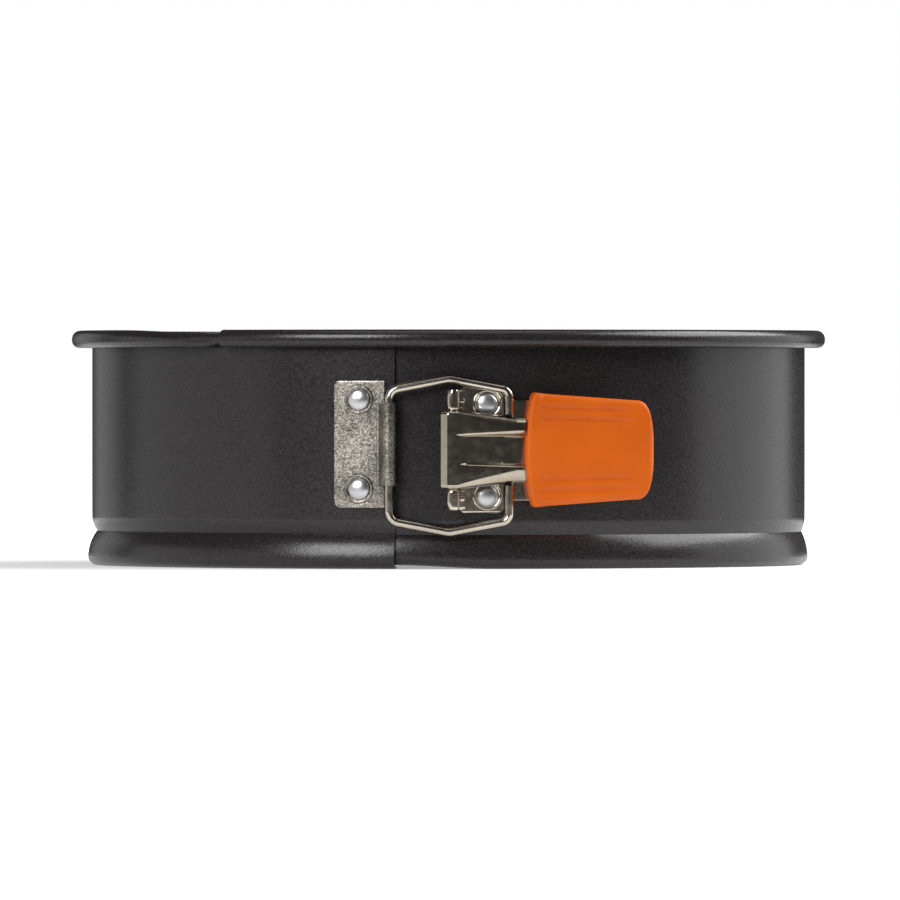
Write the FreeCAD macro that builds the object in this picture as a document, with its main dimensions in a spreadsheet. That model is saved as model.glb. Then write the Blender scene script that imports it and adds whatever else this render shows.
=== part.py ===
import FreeCAD, Part
import math
import os
import Sketcher

# Springform cake pan: an elastic sheet-steel band that closes round a loose base plate with an
# over-centre latch. Millimetres, +Z up. The origin is the centre of the ring on the table, and
# the latch is at the front, towards -Y. Angles round the ring are counted from the front, and
# are positive towards +X.

SIZES = [
    ("gauge", 0.8, "sheet of the band and of the base plate"),
    ("wall_radius", 115.5, "outside of the wall"),
    ("lip_radius", 111.5, "inner edge of the lip under the base plate"),
    ("right_bulge", 0.65, "how far the bead stands out of the wall, right half and back"),
    ("left_bulge", 1.2, "the same on the left half"),
    ("bead_corner", 2.8, "outside bend at the foot of the bead"),
    ("bead_top", 5.4, "height where the bead starts to draw in"),
    ("neck_depth", 1.3, "how far the neck above the bead is drawn in"),
    ("neck_low", 10.6, "lower end of the neck"),
    ("neck_high", 12.2, "upper end of the neck"),
    ("wall_foot", 15.4, "height where the straight wall starts"),
    ("rim_top", 76.0, "height of the pan"),
    ("rim_low", 70.5, "underside of the rim"),
    ("rim_reach", 6.6, "how far the rim stands out of the wall"),
    ("rim_corner", 2.5, "outside bend along the top of the rim"),
    ("rim_edge", 1.5, "outside bend along the bottom of the rim"),
    ("rim_hem", 2.2, "width of the turned-in edge under the rim"),
    ("rim_turn", 1.4, "bend from the wall into the rim"),
    ("nested_top", 74.9, "top of the left end's rim, which lies inside the right end's"),
    ("nested_low", 71.7, "underside of the nested rim"),
    ("nested_reach", 3.7, "how far the nested rim stands out"),
    ("nested_corner", 1.6, "outside bend along the top of the nested rim"),
    ("nested_edge", 1.2, "outside bend along the bottom of the nested rim"),
    ("nested_hem", 1.6, "width of the turned-in edge under the nested rim"),
    ("lip_rise", 1.2, "how far the right end's lip is raised over the left end's"),
    ("layer_shift", 0.6, "the left half bends about an axis this far forward, and is as much larger"),
    ("arc_gap", 0.1, "half the gap between two arcs of the band, in degrees"),
    ("left_end", 8.6, "degrees left of the front where the outer layer ends"),
    ("right_end", 37.0, "degrees left of the front where the inner layer ends"),
    ("panel_top", 7.0, "top of the base plate's panel"),
    ("panel_radius", 106.5, "flat part of the base plate"),
    ("panel_slope", 3.2, "width of the slope down to the base plate's edge"),
    ("base_low", 2.3, "underside of the base plate's edge"),
    ("base_hem_radius", 112.1, "centre line of the base plate's rolled hem"),
    ("base_hem", 1.0, "radius of that hem"),
    ("plate", 0.9, "sheet of the latch's two brackets"),
    ("knuckle", 2.2, "outside radius of every rolled knuckle"),
    ("hinge_angle", 14.2, "degrees left of the front, middle of the bail's hinge plate"),
    ("hinge_sweep", 8.0, "degrees that the hinge plate takes up"),
    ("hinge_height", 40.4, "hinge plate, top to bottom"),
    ("hinge_middle", 39.6, "height of its middle"),
    ("hinge_roll", 26.2, "length of its knuckle"),
    ("bail_radial", 118.98, "bail's axis from the left half's axis, along the plate's middle"),
    ("bail_tangent", 10.41, "the same, across"),
    ("hinge_rivets", 28.4, "distance between the hinge plate's rivets"),
    ("bracket_angle", 4.83, "degrees right of the front, middle of the lever's bracket"),
    ("bracket_sweep", 7.3, "degrees that the bracket takes up"),
    ("bracket_height", 40.0, "bracket's leaf, top to bottom"),
    ("riser_height", 36.8, "its riser and knuckles, lower so that the bail passes over them"),
    ("window_reach", 1.4, "how far the window between the knuckles goes into the leaf"),
    ("lever_middle", 37.8, "height of the lever's and the bracket's middle"),
    ("pin_radial", 120.05, "lever pin from the ring's axis, along the bracket's middle"),
    ("pin_tangent", 9.05, "the same, across, towards the left"),
    ("bracket_gap", 25.2, "clear width between the bracket's two knuckles"),
    ("bracket_rivets", 29.3, "distance between the bracket's rivets"),
    ("rivet_offset", 2.2, "bracket's rivets right of its middle"),
    ("corner", 2.0, "rounding of the brackets' free corners"),
    ("shank", 1.6, "radius of a rivet's shank"),
    ("rivet_head", 3.6, "radius of a rivet's head"),
    ("rivet_edge", 0.4, "height of the head's straight edge"),
    ("rivet_dome", 1.6, "height of the head"),
    ("rivet_tail", 2.6, "radius of the tail inside the pan"),
    ("tail_height", 0.7, "height of that tail"),
    ("rivet_play", 0.12, "play of the tail under the curved wall"),
    ("pin", 1.25, "radius of the lever pin"),
    ("running", 0.05, "radial clearance of a pin in a moving hole"),
    ("wire", 1.35, "radius of the bail's wire"),
    ("bail_middle", 36.0, "height of the bail's middle"),
    ("bail_shoulder", 20.7, "half height of the bail at its hinge and at the lever"),
    ("bail_apex", 24.3, "half height of the bail half way"),
    ("bail_corner", 3.6, "centre-line bend at the hinge"),
    ("bail_hook", 2.6, "centre-line bend where the ends turn in to the lever"),
    ("bail_bow", 6.0, "centre-line bend half way"),
    ("lever_tilt", 10.0, "degrees that the closed lever leans in towards the wall"),
    ("lever_sheet", 1.0, "sheet of the lever"),
    ("lever_width", 24.6, "lever's channel, over its flanges"),
    ("lever_face", 4.6, "outer face of the lever in front of its pin"),
    ("nose", 4.6, "radius of the lever's rounded end about its pin"),
    ("nose_back", 1.8, "how far in front of the pin the rounded end stops"),
    ("flange_back", 1.8, "flange behind the pin"),
    ("flange_front", 1.0, "flange's edge in front of the pin's line, half way along"),
    ("flange_step", 7.0, "where the flange gets narrower"),
    ("flange_tail", 15.0, "where the flange gets wider round the bail's hole"),
    ("flange_end", 19.9, "end of the flange"),
    ("bail_hole_along", 17.84, "bail's hole from the pin, along the lever"),
    ("bail_hole_front", 1.98, "the same, towards the front"),
    ("bail_hole_play", 0.1, "radial play of the wire in its hole"),
    ("tongue_start", 18.7, "where the wide tongue starts"),
    ("tongue_end", 57.5, "where the tongue ends inside the grip"),
    ("tongue_width", 32.2, "width of the tongue"),
    ("tongue_taper", 30.0, "where the tongue starts to taper inside the grip"),
    ("tongue_narrow", 22.0, "width of the tongue's end"),
    ("groove_start", 2.0, "start of the stamped groove in the lever's face"),
    ("groove_width", 10.8, "width of that groove"),
    ("groove_depth", 0.4, "depth of that groove"),
    ("grip_start", 22.6, "inner end of the grip"),
    ("grip_end", 63.9, "tip of the grip"),
    ("grip_thick", 6.8, "thickness of the grip"),
    ("grip_wide", 36.5, "width of the grip at its inner end"),
    ("grip_narrow", 31.5, "width of the grip at its tip"),
    ("grip_tip", 5.0, "rounding of the tip's corners"),
    ("grip_bow", 1.6, "how far the tip's middle stands out"),
    ("grip_edge", 1.5, "rounding of the grip's long edges"),
]

document = FreeCAD.newDocument("springform_pan")
sheet = document.addObject("Spreadsheet::Sheet", "Sizes")
VALUES = {}
for row, (alias, value, meaning) in enumerate(SIZES, start=1):
    sheet.set(f"A{row}", alias)
    sheet.set(f"B{row}", str(value))
    sheet.setAlias(f"B{row}", alias)
    sheet.set(f"C{row}", meaning)
    VALUES[alias] = value
document.recompute()


class Size:
    """A value worked out from the sheet, with the expression that keeps it bound."""

    def __init__(self, value, text):
        self.value = value
        self.text = text

    def __add__(self, other):
        other = as_size(other)
        return Size(self.value + other.value, f"({self.text} + {other.text})")

    def __sub__(self, other):
        other = as_size(other)
        return Size(self.value - other.value, f"({self.text} - {other.text})")

    def __mul__(self, factor):
        return Size(self.value * factor, f"({self.text} * {factor})")

    def __neg__(self):
        return Size(-self.value, f"(0 - {self.text})")


def as_size(number):
    if isinstance(number, Size):
        return number
    return Size(float(number), str(float(number)))


def size(alias):
    return Size(VALUES[alias], f"Sizes.{alias}")


def vector(x, y, z=0.0):
    return FreeCAD.Vector(x, y, z)


def at_angle(angle, forward=0.0, height=0.0):
    """The frame whose local X points out of the ring at this angle from the front."""
    turn = FreeCAD.Rotation(vector(0, 0, 1), angle - 90)
    return FreeCAD.Placement(vector(0, -forward, height), turn)


def new_body(label, placement):
    body = document.addObject("PartDesign::Body", label)
    body.Label = label
    body.Placement = placement
    return body


def origin_plane(body, role):
    for feature in body.Origin.OriginFeatures:
        if feature.Role == role:
            return feature
    raise RuntimeError(f"{body.Label} has no {role}")


def new_sketch(body, name, role):
    sketch = body.newObject("Sketcher::SketchObject", f"{body.Label}_{name}")
    sketch.AttachmentSupport = [(origin_plane(body, role), "")]
    sketch.MapMode = "FlatFace"
    return sketch


def constrain(sketch, kind, where, amount):
    index = sketch.addConstraint(Sketcher.Constraint(kind, *where, amount.value))
    sketch.setExpression(f"Constraints[{index}]", amount.text)


def arc_between(start, end, radius):
    """Centre of the arc from start to end. A positive radius turns left, a negative one right."""
    half = (end - start) * 0.5
    away = math.sqrt(max(radius * radius - half.Length * half.Length, 0.0))
    left = vector(-half.y, half.x).normalize()
    return start + half + left * (away if radius > 0 else -away)


def outline(sketch, corners):
    """Closed outline. A corner is (x, y) or (x, y, radius), radius bending the side after it."""
    points = [vector(as_size(c[0]).value, as_size(c[1]).value) for c in corners]
    ends = []
    for index, corner in enumerate(corners):
        start = points[index]
        end = points[(index + 1) % len(points)]
        if len(corner) == 2:
            geometry = sketch.addGeometry(Part.LineSegment(start, end), False)
            ends.append((geometry, 1, 2))
            continue
        radius = as_size(corner[2])
        centre = arc_between(start, end, radius.value)
        first, last = (start, end) if radius.value > 0 else (end, start)
        angles = [math.atan2(p.y - centre.y, p.x - centre.x) for p in (first, last)]
        circle = Part.Circle(centre, vector(0, 0, 1), abs(radius.value))
        geometry = sketch.addGeometry(Part.ArcOfCircle(circle, *angles), False)
        ends.append((geometry, 1, 2) if radius.value > 0 else (geometry, 2, 1))
        constrain(sketch, "Radius", (geometry,), radius if radius.value > 0 else -radius)
    for index, (geometry, start_point, _) in enumerate(ends):
        before, _, before_end = ends[index - 1]
        joint = Sketcher.Constraint("Coincident", before, before_end, geometry, start_point)
        sketch.addConstraint(joint)
        for kind, amount in zip(("DistanceX", "DistanceY"), corners[index]):
            constrain(sketch, kind, (-1, 1, geometry, start_point), as_size(amount))


def circle_at(sketch, x, y, radius):
    x, y, radius = as_size(x), as_size(y), as_size(radius)
    circle = Part.Circle(vector(x.value, y.value), vector(0, 0, 1), radius.value)
    geometry = sketch.addGeometry(circle, False)
    constrain(sketch, "Radius", (geometry,), radius)
    constrain(sketch, "DistanceX", (-1, 1, geometry, 3), x)
    constrain(sketch, "DistanceY", (-1, 1, geometry, 3), y)


def revolve(body, sketch, name, angle, both_ways=False, backwards=False):
    feature = body.newObject("PartDesign::Revolution", f"{body.Label}_{name}")
    feature.Profile = sketch
    feature.ReferenceAxis = (sketch, ["V_Axis"])
    feature.Angle = as_size(angle).value
    feature.setExpression("Angle", as_size(angle).text)
    feature.Midplane = both_ways
    feature.Reversed = backwards
    return feature


def pad(body, sketch, name, length):
    feature = body.newObject("PartDesign::Pad", f"{body.Label}_{name}")
    feature.Profile = sketch
    feature.Midplane = True
    feature.Length = length.value
    feature.setExpression("Length", length.text)
    return feature


def pocket(body, sketch, name, length=None):
    """A cut through the sketch's plane to both sides: this long in all, or right through."""
    feature = body.newObject("PartDesign::Pocket", f"{body.Label}_{name}")
    feature.Profile = sketch
    feature.Midplane = True
    if length is None:
        feature.Type = "ThroughAll"
    else:
        feature.Length = length.value
        feature.setExpression("Length", length.text)
    return feature


def edge_names(shape, wanted):
    return [f"Edge{i}" for i, edge in enumerate(shape.Edges, start=1) if wanted(edge)]


def fillet(body, name, base, wanted, radius):
    document.recompute()
    feature = body.newObject("PartDesign::Fillet", f"{body.Label}_{name}")
    feature.Base = (base, edge_names(base.Shape, wanted))
    feature.Radius = radius.value
    feature.setExpression("Radius", radius.text)
    return feature


GAUGE = size("gauge")


def band_section(shift=0.0, bulge="right_bulge", rise=0.0, rim="rim"):
    """Section of the band, radius and height, up the outside and down the inside."""
    wall = size("wall_radius") + shift
    lip = size("lip_radius") + shift
    bead = wall + size(bulge)
    neck = wall - size("neck_depth")
    low_corner = size("bead_corner")
    foot = as_size(rise)
    bead_top = size("bead_top")
    neck_low = size("neck_low")
    neck_high = size("neck_high")
    wall_foot = size("wall_foot")
    top = size(f"{rim}_top")
    low = size(f"{rim}_low")
    reach = wall + size(f"{rim}_reach")
    corner = size(f"{rim}_corner")
    edge = size(f"{rim}_edge")
    hem = reach - size(f"{rim}_hem")
    turn = size("rim_turn")
    bend = wall - GAUGE + turn
    return [
        (lip, foot),
        (bead - low_corner, foot, low_corner),
        (bead, foot + low_corner),
        (bead, bead_top),
        (neck, neck_low),
        (neck, neck_high),
        (wall, wall_foot),
        (wall, top - turn, GAUGE - turn),
        (bend, top - GAUGE),
        (reach - corner, top - GAUGE, GAUGE - corner),
        (reach - GAUGE, top - corner),
        (reach - GAUGE, low + edge, GAUGE - edge),
        (reach - edge, low + GAUGE),
        (hem, low + GAUGE),
        (hem, low),
        (reach - edge, low, edge),
        (reach, low + edge),
        (reach, top - corner, corner),
        (reach - corner, top),
        (bend, top, turn),
        (wall - GAUGE, top - turn),
        (wall - GAUGE, wall_foot),
        (neck - GAUGE, neck_high),
        (neck - GAUGE, neck_low),
        (bead - GAUGE, bead_top),
        (bead - GAUGE, foot + low_corner, GAUGE - low_corner),
        (bead - low_corner, foot + GAUGE),
        (lip, foot + GAUGE),
    ]


def band_arc(label, section, middle, sweep, forward=0.0):
    """One arc of the band, bent about the ring's axis moved forward."""
    body = new_body(label, at_angle(middle, forward))
    sketch = new_sketch(body, "section", "XZ_Plane")
    outline(sketch, section)
    revolve(body, sketch, "arc", sweep, both_ways=True)
    return body


def rivet_holes(body, offset, middle, spread):
    sketch = new_sketch(body, "rivet_holes", "YZ_Plane")
    for side in (-0.5, 0.5):
        circle_at(sketch, offset, middle + spread * side, size("shank"))
    return pocket(body, sketch, "rivet_hole_pair")


def make_band():
    """The elastic band, as five arcs that meet at four bending lines."""
    quarter = as_size(90) - size("arc_gap")
    shift = size("layer_shift")
    shifted = band_section(shift, "left_bulge")
    nested = band_section(shift, "left_bulge", rim="nested")
    raised = band_section(rise=size("lip_rise"))
    back = band_arc("band_back", band_section(), 180, quarter)
    right_side = band_arc("band_right_side", band_section(), 90, quarter)
    left_side = band_arc("band_left_side", shifted, -90, quarter, shift.value)

    # The left end is the outer layer. Its rim is narrower, to lie inside the right end's.
    left_front = new_body("band_left_front", at_angle(-VALUES["hinge_angle"], shift.value))
    sketch = new_sketch(left_front, "section", "XZ_Plane")
    outline(sketch, nested)
    start = as_size(45) - size("arc_gap") * 0.5
    revolve(left_front, sketch, "towards_side", start - size("hinge_angle"), backwards=True)
    revolve(left_front, sketch, "towards_end", size("hinge_angle") - size("left_end"))
    rivet_holes(left_front, 0, size("hinge_middle"), size("hinge_rivets"))

    # The right end is the inner layer. Its lip rises to lie on the left end's.
    right_front = new_body("band_right_front", at_angle(VALUES["bracket_angle"]))
    sketch = new_sketch(right_front, "section", "XZ_Plane")
    outline(sketch, band_section())
    revolve(right_front, sketch, "towards_side", start - size("bracket_angle"))
    sketch = new_sketch(right_front, "raised_section", "XZ_Plane")
    outline(sketch, raised)
    inner_end = size("right_end") + size("bracket_angle")
    revolve(right_front, sketch, "towards_end", inner_end, backwards=True)
    rivet_holes(right_front, size("rivet_offset"), size("lever_middle"), size("bracket_rivets"))
    return [back, left_side, left_front, right_side, right_front]


def make_base_plate():
    """Loose bottom: a raised panel inside a rolled hem that sits on the band's lip."""
    body = new_body("base_plate", FreeCAD.Placement())
    sketch = new_sketch(body, "section", "XZ_Plane")
    top = size("panel_top")
    slope_start = size("panel_radius")
    slope_end = slope_start + size("panel_slope")
    low = size("base_low")
    roll = size("base_hem")
    hem = size("base_hem_radius")
    outline(
        sketch,
        [
            (0, top - GAUGE),
            (slope_start, top - GAUGE),
            (slope_end, low),
            (hem, low, roll),
            (hem + roll, low + roll, roll),
            (hem, low + roll * 2),
            (hem - roll, low + roll * 2),
            (hem - roll, low + GAUGE),
            (slope_end + 0.4, low + GAUGE),
            (slope_start + 0.4, top),
            (0, top),
        ],
    )
    revolve(body, sketch, "disc", 360)
    return body


def curved_plate(label, angle, forward, middle, wall, sweep, height):
    """Plate that lies on the wall, with its local X out through its middle."""
    body = new_body(label, at_angle(angle, forward, middle))
    sketch = new_sketch(body, "section", "XZ_Plane")
    outside = wall + size("plate")
    half = height * 0.5
    outline(sketch, [(wall, -half), (outside, -half), (outside, half), (wall, half)])
    leaf = revolve(body, sketch, "leaf", sweep, both_ways=True)
    return body, leaf


def is_free_corner(side):
    """Short edges across the sheet, on this side of the plate's middle."""

    def wanted(edge):
        first, last = edge.Vertexes[0].Point, edge.Vertexes[-1].Point
        across = abs(first.z - last.z) < 0.01 and edge.Length < VALUES["plate"] * 1.2
        return across and first.y * side > 0

    return wanted


def make_hinge_plate():
    """Plate on the outer layer, curled round the bail's wire."""
    wall = size("wall_radius") + size("layer_shift")
    body, leaf = curved_plate(
        "bail_hinge_plate",
        -VALUES["hinge_angle"],
        VALUES["layer_shift"],
        VALUES["hinge_middle"],
        wall,
        size("hinge_sweep"),
        size("hinge_height"),
    )
    fillet(body, "free_corners", leaf, is_free_corner(-1), size("corner"))
    radial = size("bail_radial")
    tangent = size("bail_tangent")
    knuckle = size("knuckle")
    length = size("hinge_roll")
    # The sheet leaves the leaf, goes round the wire and comes back to the leaf's front.
    web = new_sketch(body, "web", "XY_Plane")
    strip_end = tangent - 3.8
    outline(
        web,
        [
            (wall, strip_end),
            (wall + size("plate") * 2, strip_end),
            (radial + knuckle - 0.1, tangent - 0.7),
            (radial, tangent),
            (radial - knuckle, tangent),
            (wall, tangent - 2.4),
        ],
    )
    pad(body, web, "web_pad", length)
    roll = new_sketch(body, "roll", "XY_Plane")
    circle_at(roll, radial, tangent, knuckle)
    pad(body, roll, "roll_pad", length)
    bore = new_sketch(body, "bore", "XY_Plane")
    circle_at(bore, radial, tangent, size("wire") + size("running"))
    pocket(body, bore, "bore_cut")
    rivet_holes(body, 0, as_size(0), size("hinge_rivets"))
    return body


def make_lever_bracket():
    """Plate on the right end whose left edge turns out and curls round the lever's pin."""
    body, leaf = curved_plate(
        "lever_bracket",
        VALUES["bracket_angle"],
        0.0,
        VALUES["lever_middle"],
        size("wall_radius"),
        size("bracket_sweep"),
        size("bracket_height"),
    )
    fillet(body, "free_corners", leaf, is_free_corner(1), size("corner"))
    radial = size("pin_radial")
    tangent = -size("pin_tangent")
    knuckle = size("knuckle")
    riser = new_sketch(body, "riser", "XY_Plane")
    inner = tangent + knuckle - size("plate")
    outer = tangent + knuckle
    foot = size("wall_radius") - 0.1
    outline(riser, [(foot, inner), (foot, outer), (radial, outer), (radial, inner)])
    pad(body, riser, "riser_pad", size("riser_height"))
    roll = new_sketch(body, "roll", "XY_Plane")
    circle_at(roll, radial, tangent, knuckle)
    pad(body, roll, "roll_pad", size("riser_height"))
    # The lever's channel works between the two knuckles, and its nose turns through the leaf.
    window = new_sketch(body, "window", "XY_Plane")
    near = size("wall_radius") - 1
    far = radial + knuckle + 1
    left = tangent - 4
    right = outer + size("window_reach")
    outline(window, [(near, left), (far, left), (far, right), (near, right)])
    pocket(body, window, "window_cut", size("bracket_gap"))
    bore = new_sketch(body, "bore", "XY_Plane")
    circle_at(bore, radial, tangent, size("pin"))
    pocket(body, bore, "bore_cut")
    rivet_holes(body, size("rivet_offset"), as_size(0), size("bracket_rivets"))
    return body


def make_rivet(label, frame, seat, across, height, with_tail):
    """Domed rivet through a bracket and the band, its head's seat at this radius."""
    body = document.addObject("PartDesign::Body", label)
    body.Label = label
    lie_down = FreeCAD.Rotation(vector(0, 1, 0), 90)
    body.Placement = frame * FreeCAD.Placement(vector(seat, across, height), lie_down)
    sketch = new_sketch(body, "section", "XZ_Plane")
    shank = size("shank")
    grip = -(size("plate") + GAUGE + size("rivet_play"))
    head = size("rivet_head")
    edge = size("rivet_edge")
    dome = size("rivet_dome")
    rise = VALUES["rivet_dome"] - VALUES["rivet_edge"]
    bow = (VALUES["rivet_head"] ** 2 + rise**2) / (2 * rise)
    if with_tail:
        tail = size("rivet_tail")
        bottom = grip - size("tail_height")
        foot = [(0, bottom), (tail, bottom), (tail, grip), (shank, grip)]
    else:
        foot = [(0, grip), (shank, grip)]
    outline(sketch, foot + [(shank, 0), (head, 0), (head, edge, bow), (0, dome)])
    revolve(body, sketch, "turned", 360)
    return body


def face_sketch(body, name):
    """Sketch in the middle of the lever's face sheet: along the lever, and height."""
    sketch = new_sketch(body, name, "XZ_Plane")
    middle = VALUES["lever_face"] - VALUES["lever_sheet"] / 2
    sketch.AttachmentOffset = FreeCAD.Placement(vector(0, 0, middle), FreeCAD.Rotation())
    return sketch


def tongue_plan(body):
    """The tongue is widest outside the grip, and tapers inside it."""
    sketch = face_sketch(body, "tongue_plan")
    start = size("tongue_start")
    taper = size("tongue_taper")
    far = size("tongue_end")
    wide = size("tongue_width") * 0.5
    narrow = size("tongue_narrow") * 0.5
    corners = [(start, -wide), (taper, -wide), (far, -narrow)]
    outline(sketch, corners + [(far, narrow), (taper, wide), (start, wide)])
    return sketch


def make_lever(frame):
    """Pressed channel: rounded nose over the pin, two flanges and a wide flat tongue."""
    body = new_body("lever", frame)
    face = -size("lever_face")
    inner_face = face + size("lever_sheet")
    nose_edge = -math.sqrt(VALUES["nose"] ** 2 - VALUES["nose_back"] ** 2)
    back = size("flange_back")
    front = -size("flange_front")
    end = size("flange_end")
    tail = size("flange_tail")
    step = size("flange_step")
    side = new_sketch(body, "side", "XY_Plane")
    outline(
        side,
        [
            (0, face),
            (end, face),
            (end, 0.2),
            (tail + 1.2, 0.2),
            (tail, front),
            (step, front),
            (2, back),
            (-2, back),
            (nose_edge + 0.4, front - 0.2),
            (nose_edge, -size("nose_back"), size("nose")),
        ],
    )
    pad(body, side, "side_pad", size("lever_width"))
    hollow = new_sketch(body, "hollow", "XY_Plane")
    inner_nose = size("nose") - size("lever_sheet")
    nose_inside = -math.sqrt(inner_nose.value**2 - 1.2**2)
    outline(
        hollow,
        [
            (0, inner_face),
            (end + 1, inner_face),
            (end + 1, 4),
            (-6, 4),
            (-6, -1.2),
            (nose_inside, -1.2, inner_nose),
        ],
    )
    pocket(body, hollow, "hollow_cut", size("lever_width") - size("lever_sheet") * 2)
    pad(body, tongue_plan(body), "tongue_pad", size("lever_sheet"))
    groove = new_sketch(body, "groove", "XY_Plane")
    groove_floor = face + size("groove_depth")
    groove_start = size("groove_start")
    groove_end = size("grip_start")
    outline(
        groove,
        [
            (groove_start, face - 1),
            (groove_end, face - 1),
            (groove_end, groove_floor),
            (groove_start, groove_floor),
        ],
    )
    pocket(body, groove, "groove_cut", size("groove_width"))
    holes = new_sketch(body, "holes", "XY_Plane")
    circle_at(holes, 0, 0, size("pin") + size("running"))
    bail_hole = size("wire") + size("bail_hole_play")
    circle_at(holes, size("bail_hole_along"), -size("bail_hole_front"), bail_hole)
    pocket(body, holes, "holes_cut", size("lever_width") + 2)
    return body


def make_grip(frame):
    """Silicone sleeve on the tongue, narrower and rounded at its tip."""
    body = new_body("lever_grip", frame)
    start = size("grip_start")
    end = size("grip_end") - size("grip_bow")
    wide = size("grip_wide") * 0.5
    narrow = size("grip_narrow") * 0.5
    bow = (narrow.value**2 + VALUES["grip_bow"] ** 2) / (2 * VALUES["grip_bow"])
    plan = face_sketch(body, "plan")
    outline(plan, [(start, -wide), (end, -narrow, bow), (end, narrow), (start, wide)])
    block = pad(body, plan, "block", size("grip_thick"))

    def tip_corner(edge):
        first, last = edge.Vertexes[0].Point, edge.Vertexes[-1].Point
        return abs(first.y - last.y) > 1 and first.x > VALUES["grip_start"] + 1

    def long_edge(edge):
        first, last = edge.Vertexes[0].Point, edge.Vertexes[-1].Point
        return abs(first.y - last.y) < 0.01 and max(first.x, last.x) > VALUES["grip_start"] + 1

    block = fillet(body, "tip_corners", block, tip_corner, size("grip_tip"))
    fillet(body, "rounded_edges", block, long_edge, size("grip_edge"))
    pocket(body, tongue_plan(body), "slot_cut", size("lever_sheet"))
    return body


def make_pin(label, point, radius, height):
    """Plain round pin, upright, with its middle at this point."""
    pin = document.addObject("Part::Cylinder", label)
    pin.Label = label
    pin.setExpression("Radius", radius.text)
    pin.setExpression("Height", height.text)
    pin.Placement = FreeCAD.Placement(point - vector(0, 0, height.value / 2), FreeCAD.Rotation())
    return pin


def bent_route(points, bends):
    """Straight runs between the points, joined by tangent arcs of these centre-line radii."""
    edges = []
    here = points[0]
    for index, radius in enumerate(bends, start=1):
        corner = points[index]
        back = (points[index - 1] - corner).normalize()
        ahead = (points[index + 1] - corner).normalize()
        half = back.getAngle(ahead) / 2
        reach = radius / math.tan(half)
        middle = corner + (back + ahead).normalize() * (radius / math.sin(half) - radius)
        enter = corner + back * reach
        leave = corner + ahead * reach
        edges.append(Part.LineSegment(here, enter).toShape())
        edges.append(Part.Arc(enter, middle, leave).toShape())
        here = leave
    edges.append(Part.LineSegment(here, points[-1]).toShape())
    return Part.Wire(edges)


def make_bail(hinge, hook):
    """Closed wire loop in the upright plane through its hinge axis and the lever's holes."""
    along = (hook - hinge).normalize()
    span = (hook - hinge).Length
    level = VALUES["bail_middle"]
    shoulder = VALUES["bail_shoulder"]
    apex = VALUES["bail_apex"]
    lever_side = VALUES["bracket_gap"] / 2
    top_end = VALUES["lever_middle"] + lever_side - level
    bottom_end = VALUES["lever_middle"] - lever_side - level

    def point(share, rise):
        return hinge + along * (span * share) + vector(0, 0, level + rise)

    points = [
        point(1, top_end),
        point(1, shoulder),
        point(0.5, apex),
        point(0, shoulder),
        point(0, -shoulder),
        point(0.5, -apex),
        point(1, -shoulder),
        point(1, bottom_end),
    ]
    hook_bend = VALUES["bail_hook"]
    bow = VALUES["bail_bow"]
    corner = VALUES["bail_corner"]
    route = bent_route(points, [hook_bend, bow, corner, corner, bow, hook_bend])
    circle = Part.Circle(points[0], vector(0, 0, 1), VALUES["wire"])
    section = Part.Wire([circle.toShape()])
    bail = document.addObject("Part::Feature", "bail_wire")
    bail.Label = "bail_wire"
    bail.Shape = route.makePipeShell([section], True, False)
    return bail


hinge_frame = at_angle(-VALUES["hinge_angle"], VALUES["layer_shift"])
bracket_frame = at_angle(VALUES["bracket_angle"])
bail_axis = hinge_frame.multVec(vector(VALUES["bail_radial"], VALUES["bail_tangent"]))
pin_axis = bracket_frame.multVec(vector(VALUES["pin_radial"], -VALUES["pin_tangent"]))
lever_frame = FreeCAD.Placement(
    pin_axis + vector(0, 0, VALUES["lever_middle"]),
    FreeCAD.Rotation(vector(0, 0, 1), VALUES["lever_tilt"]),
)
hook_axis = lever_frame.multVec(vector(VALUES["bail_hole_along"], -VALUES["bail_hole_front"]))
hook_axis.z = 0.0

nodes = make_band()
nodes.append(make_base_plate())
nodes.append(make_hinge_plate())
nodes.append(make_lever_bracket())
RIVETS = [
    ("hinge_rivet", hinge_frame, "layer_shift", 0.0, "hinge_middle", "hinge_rivets", False),
    ("bracket_rivet", bracket_frame, None, "rivet_offset", "lever_middle", "bracket_rivets", True),
]
for label, frame, shift, offset, middle, spread, with_tail in RIVETS:
    seat = VALUES["wall_radius"] + VALUES["plate"] + (VALUES[shift] if shift else 0.0)
    across = VALUES[offset] if offset else 0.0
    for name, side in (("upper", 0.5), ("lower", -0.5)):
        height = VALUES[middle] + VALUES[spread] * side
        nodes.append(make_rivet(f"{label}_{name}", frame, seat, across, height, with_tail))
pin_middle = pin_axis + vector(0, 0, VALUES["lever_middle"])
nodes.append(make_pin("lever_pin", pin_middle, size("pin"), size("riser_height")))
nodes.append(make_lever(lever_frame))
nodes.append(make_grip(lever_frame))
nodes.append(make_bail(bail_axis, hook_axis))
document.recompute()

for item in document.Objects:
    if "Invalid" in item.State or "Error" in item.State:
        raise RuntimeError(f"{item.Label} did not recompute: {item.State}")
os.makedirs("parts", exist_ok=True)
for node in nodes:
    if node.Shape.isNull() or not node.Shape.isValid() or len(node.Shape.Solids) != 1:
        raise RuntimeError(f"{node.Label} is not one valid solid")
    node.Shape.exportStep(f"parts/{node.Label}.step")
    box = node.Shape.BoundBox
    print(
        f"{node.Label}: {node.Shape.Volume:.1f} mm3,"
        f" x {box.XMin:.2f}..{box.XMax:.2f}, y {box.YMin:.2f}..{box.YMax:.2f},"
        f" z {box.ZMin:.2f}..{box.ZMax:.2f}"
    )
print("bail axis", bail_axis, "pin axis", pin_axis, "hook axis", hook_axis)
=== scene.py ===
import math

import bpy
import numpy as np
from mathutils import Matrix, Vector


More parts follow.
